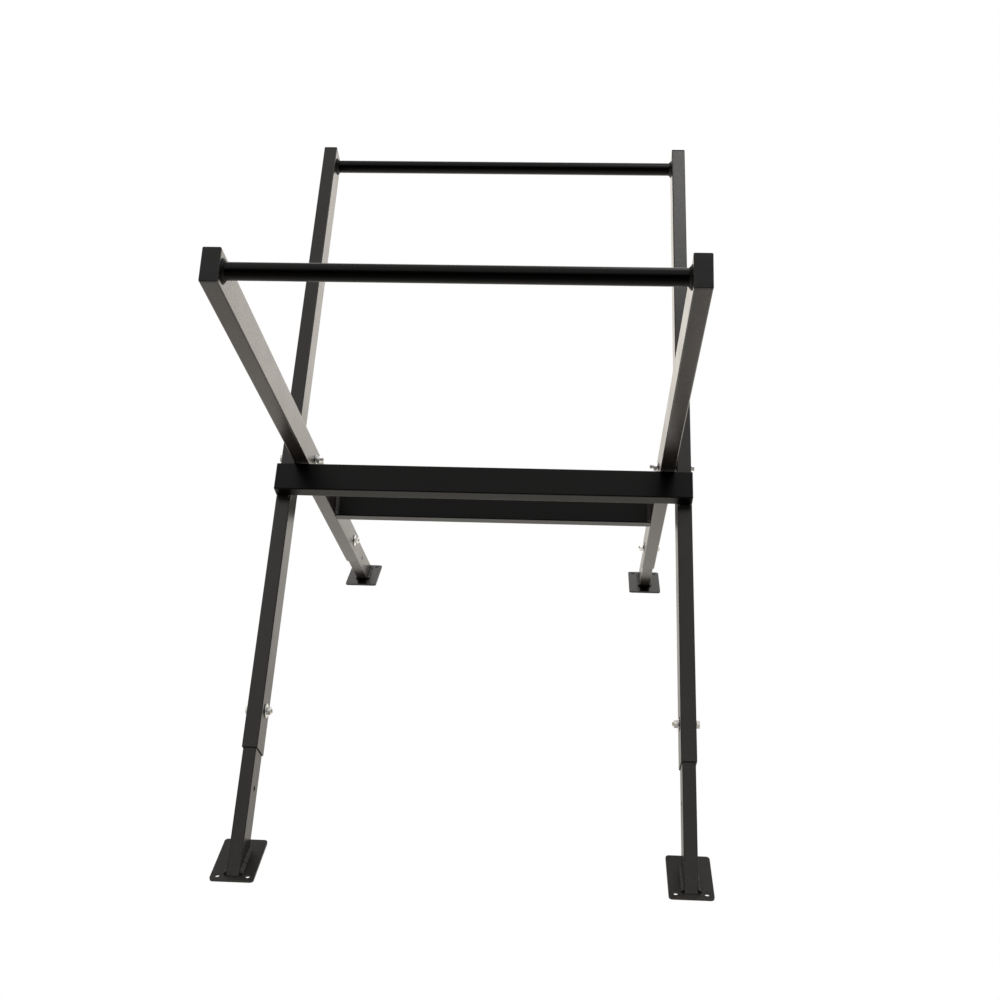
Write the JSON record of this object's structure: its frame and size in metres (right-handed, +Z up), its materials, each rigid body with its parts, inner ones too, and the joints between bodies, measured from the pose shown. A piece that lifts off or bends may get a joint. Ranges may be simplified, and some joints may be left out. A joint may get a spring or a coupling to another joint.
{
  "type": "folding sawhorse",
  "caption": "Folding steel X-frame sawhorse: two frames hinged on one pivot line hold logs in their upper V and stand on telescoping legs with level foot plates.",
  "frame": {"origin": "on the floor, midway between the left and right feet and between the front and rear feet", "axes": "+Z up; +X to the right, along the top bars and the pivot line; +Y to the rear, from the outer frame's feet to the inner frame's feet"},
  "size_m": [0.782, 1.19, 0.9775],
  "materials": {
    "black_powder_coat": "satin black powder coat with a fine texture",
    "black_plastic": "moulded black plastic with a fine grain",
    "zinc_plated_steel": "bright zinc plating"
  },
  "bodies": {
    "outer_frame": {"outer_tube_left": "black_powder_coat", "outer_tube_right": "black_powder_coat", "outer_top_bar": "black_powder_coat", "front_crossbeam": "black_powder_coat", "front_crossbeam_cap_left": "black_plastic", "front_crossbeam_cap_right": "black_plastic", "outer_top_cap_left": "black_plastic", "outer_top_cap_right": "black_plastic", "lock_bolt_front_left": "zinc_plated_steel", "lock_outer_washer_front_left": "zinc_plated_steel", "lock_penny_washer_front_left": "zinc_plated_steel", "lock_nut_front_left": "zinc_plated_steel", "lock_bolt_end_front_left": "zinc_plated_steel", "lock_bolt_front_right": "zinc_plated_steel", "lock_outer_washer_front_right": "zinc_plated_steel", "lock_penny_washer_front_right": "zinc_plated_steel", "lock_nut_front_right": "zinc_plated_steel", "lock_bolt_end_front_right": "zinc_plated_steel", "pivot_bolt_left": "zinc_plated_steel", "pivot_outer_washer_left": "zinc_plated_steel", "pivot_spacer_left": "zinc_plated_steel", "pivot_inner_washer_left": "zinc_plated_steel", "pivot_nut_left": "zinc_plated_steel", "pivot_bolt_right": "zinc_plated_steel", "pivot_outer_washer_right": "zinc_plated_steel", "pivot_spacer_right": "zinc_plated_steel", "pivot_inner_washer_right": "zinc_plated_steel", "pivot_nut_right": "zinc_plated_steel"},
    "inner_frame": {"inner_tube_left": "black_powder_coat", "inner_tube_right": "black_powder_coat", "inner_top_bar": "black_powder_coat", "rear_crossbeam": "black_powder_coat", "inner_top_cap_left": "black_plastic", "inner_top_cap_right": "black_plastic", "lock_bolt_rear_left": "zinc_plated_steel", "lock_outer_washer_rear_left": "zinc_plated_steel", "lock_penny_washer_rear_left": "zinc_plated_steel", "lock_nut_rear_left": "zinc_plated_steel", "lock_bolt_end_rear_left": "zinc_plated_steel", "lock_bolt_rear_right": "zinc_plated_steel", "lock_outer_washer_rear_right": "zinc_plated_steel", "lock_penny_washer_rear_right": "zinc_plated_steel", "lock_nut_rear_right": "zinc_plated_steel", "lock_bolt_end_rear_right": "zinc_plated_steel"},
    "front_left_leg": {"leg_front_left": "black_powder_coat", "foot_plate_front_left": "black_powder_coat"},
    "front_right_leg": {"leg_front_right": "black_powder_coat", "foot_plate_front_right": "black_powder_coat"},
    "rear_left_leg": {"leg_rear_left": "black_powder_coat", "foot_plate_rear_left": "black_powder_coat"},
    "rear_right_leg": {"leg_rear_right": "black_powder_coat", "foot_plate_rear_right": "black_powder_coat"}
  },
  "joints": [
    {"name": "fold", "type": "hinge", "parent": "outer_frame", "child": "inner_frame", "pos_m": [0, 0, 0.4845], "axis": [-1, 0, 0], "range_deg": [0, 88]},
    {"name": "front_left_leg_height", "type": "slide", "parent": "outer_frame", "child": "front_left_leg", "axis": [0, 0.7547, 0.6561], "range_m": [-0.132, 0.132]},
    {"name": "front_right_leg_height", "type": "slide", "parent": "outer_frame", "child": "front_right_leg", "axis": [0, 0.7547, 0.6561], "range_m": [-0.132, 0.132]},
    {"name": "rear_left_leg_height", "type": "slide", "parent": "inner_frame", "child": "rear_left_leg", "axis": [0, -0.7547, 0.6561], "range_m": [-0.132, 0.132]},
    {"name": "rear_right_leg_height", "type": "slide", "parent": "inner_frame", "child": "rear_right_leg", "axis": [0, -0.7547, 0.6561], "range_m": [-0.132, 0.132]}
  ]
}
